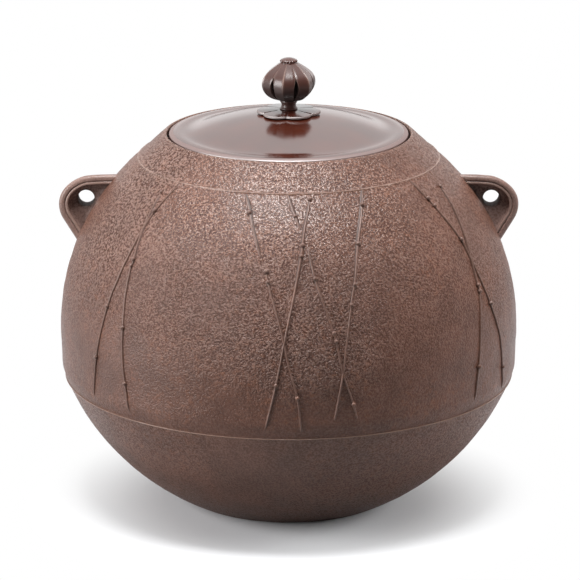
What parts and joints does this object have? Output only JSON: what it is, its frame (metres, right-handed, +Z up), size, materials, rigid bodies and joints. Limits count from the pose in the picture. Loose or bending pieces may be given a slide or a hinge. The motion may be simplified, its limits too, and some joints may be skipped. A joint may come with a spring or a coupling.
{
  "type": "chagama tea kettle",
  "caption": "Round cast-iron tea kettle with ring lugs at the shoulders and a domed bronze lid that lifts off by a bud-shaped knob; it heats water for tea.",
  "frame": {"origin": "centre of the flat base, on the floor", "axes": "+Z up along the kettle's axis, +X to the right lug, -Y towards the viewer of the picture"},
  "size_m": [0.237, 0.236, 0.2319],
  "materials": {
    "cast_iron": "rough cast skin with a brown rust and lacquer finish",
    "lug_iron": "smoother cast skin, brown",
    "plate_iron": "plain forged plate, dark",
    "lacquer": "lacquer filled with iron powder, matte",
    "lid_bronze": "brown patinated bronze, polished",
    "knob_bronze": "dark patinated bronze, satin"
  },
  "bodies": {
    "kettle": {"upper_shell": "cast_iron", "bottom_bowl": "cast_iron", "seam_lacquer": "lacquer", "left_lug": "lug_iron", "right_lug": "lug_iron", "plate_lacquer": "lacquer", "sounding_plate_1": "plate_iron", "sounding_plate_2": "plate_iron", "sounding_plate_3": "plate_iron", "sounding_plate_4": "plate_iron", "sounding_plate_5": "plate_iron"},
    "lid": {"lid_dome": "lid_bronze", "seat_washer": "knob_bronze", "under_washer": "knob_bronze"},
    "knob": {"knob_stem": "knob_bronze", "knob_bud": "knob_bronze", "knob_crown": "knob_bronze", "knob_pin": "knob_bronze"}
  },
  "joints": [
    {"name": "lid_lift", "type": "slide", "parent": "kettle", "child": "lid", "axis": [0, 0, 1], "range_m": [0, 0.12]},
    {"name": "knob_turn", "type": "hinge", "parent": "lid", "child": "knob", "pos_m": [0, 0, 0.2], "axis": [0, 0, 1], "continuous": true}
  ]
}
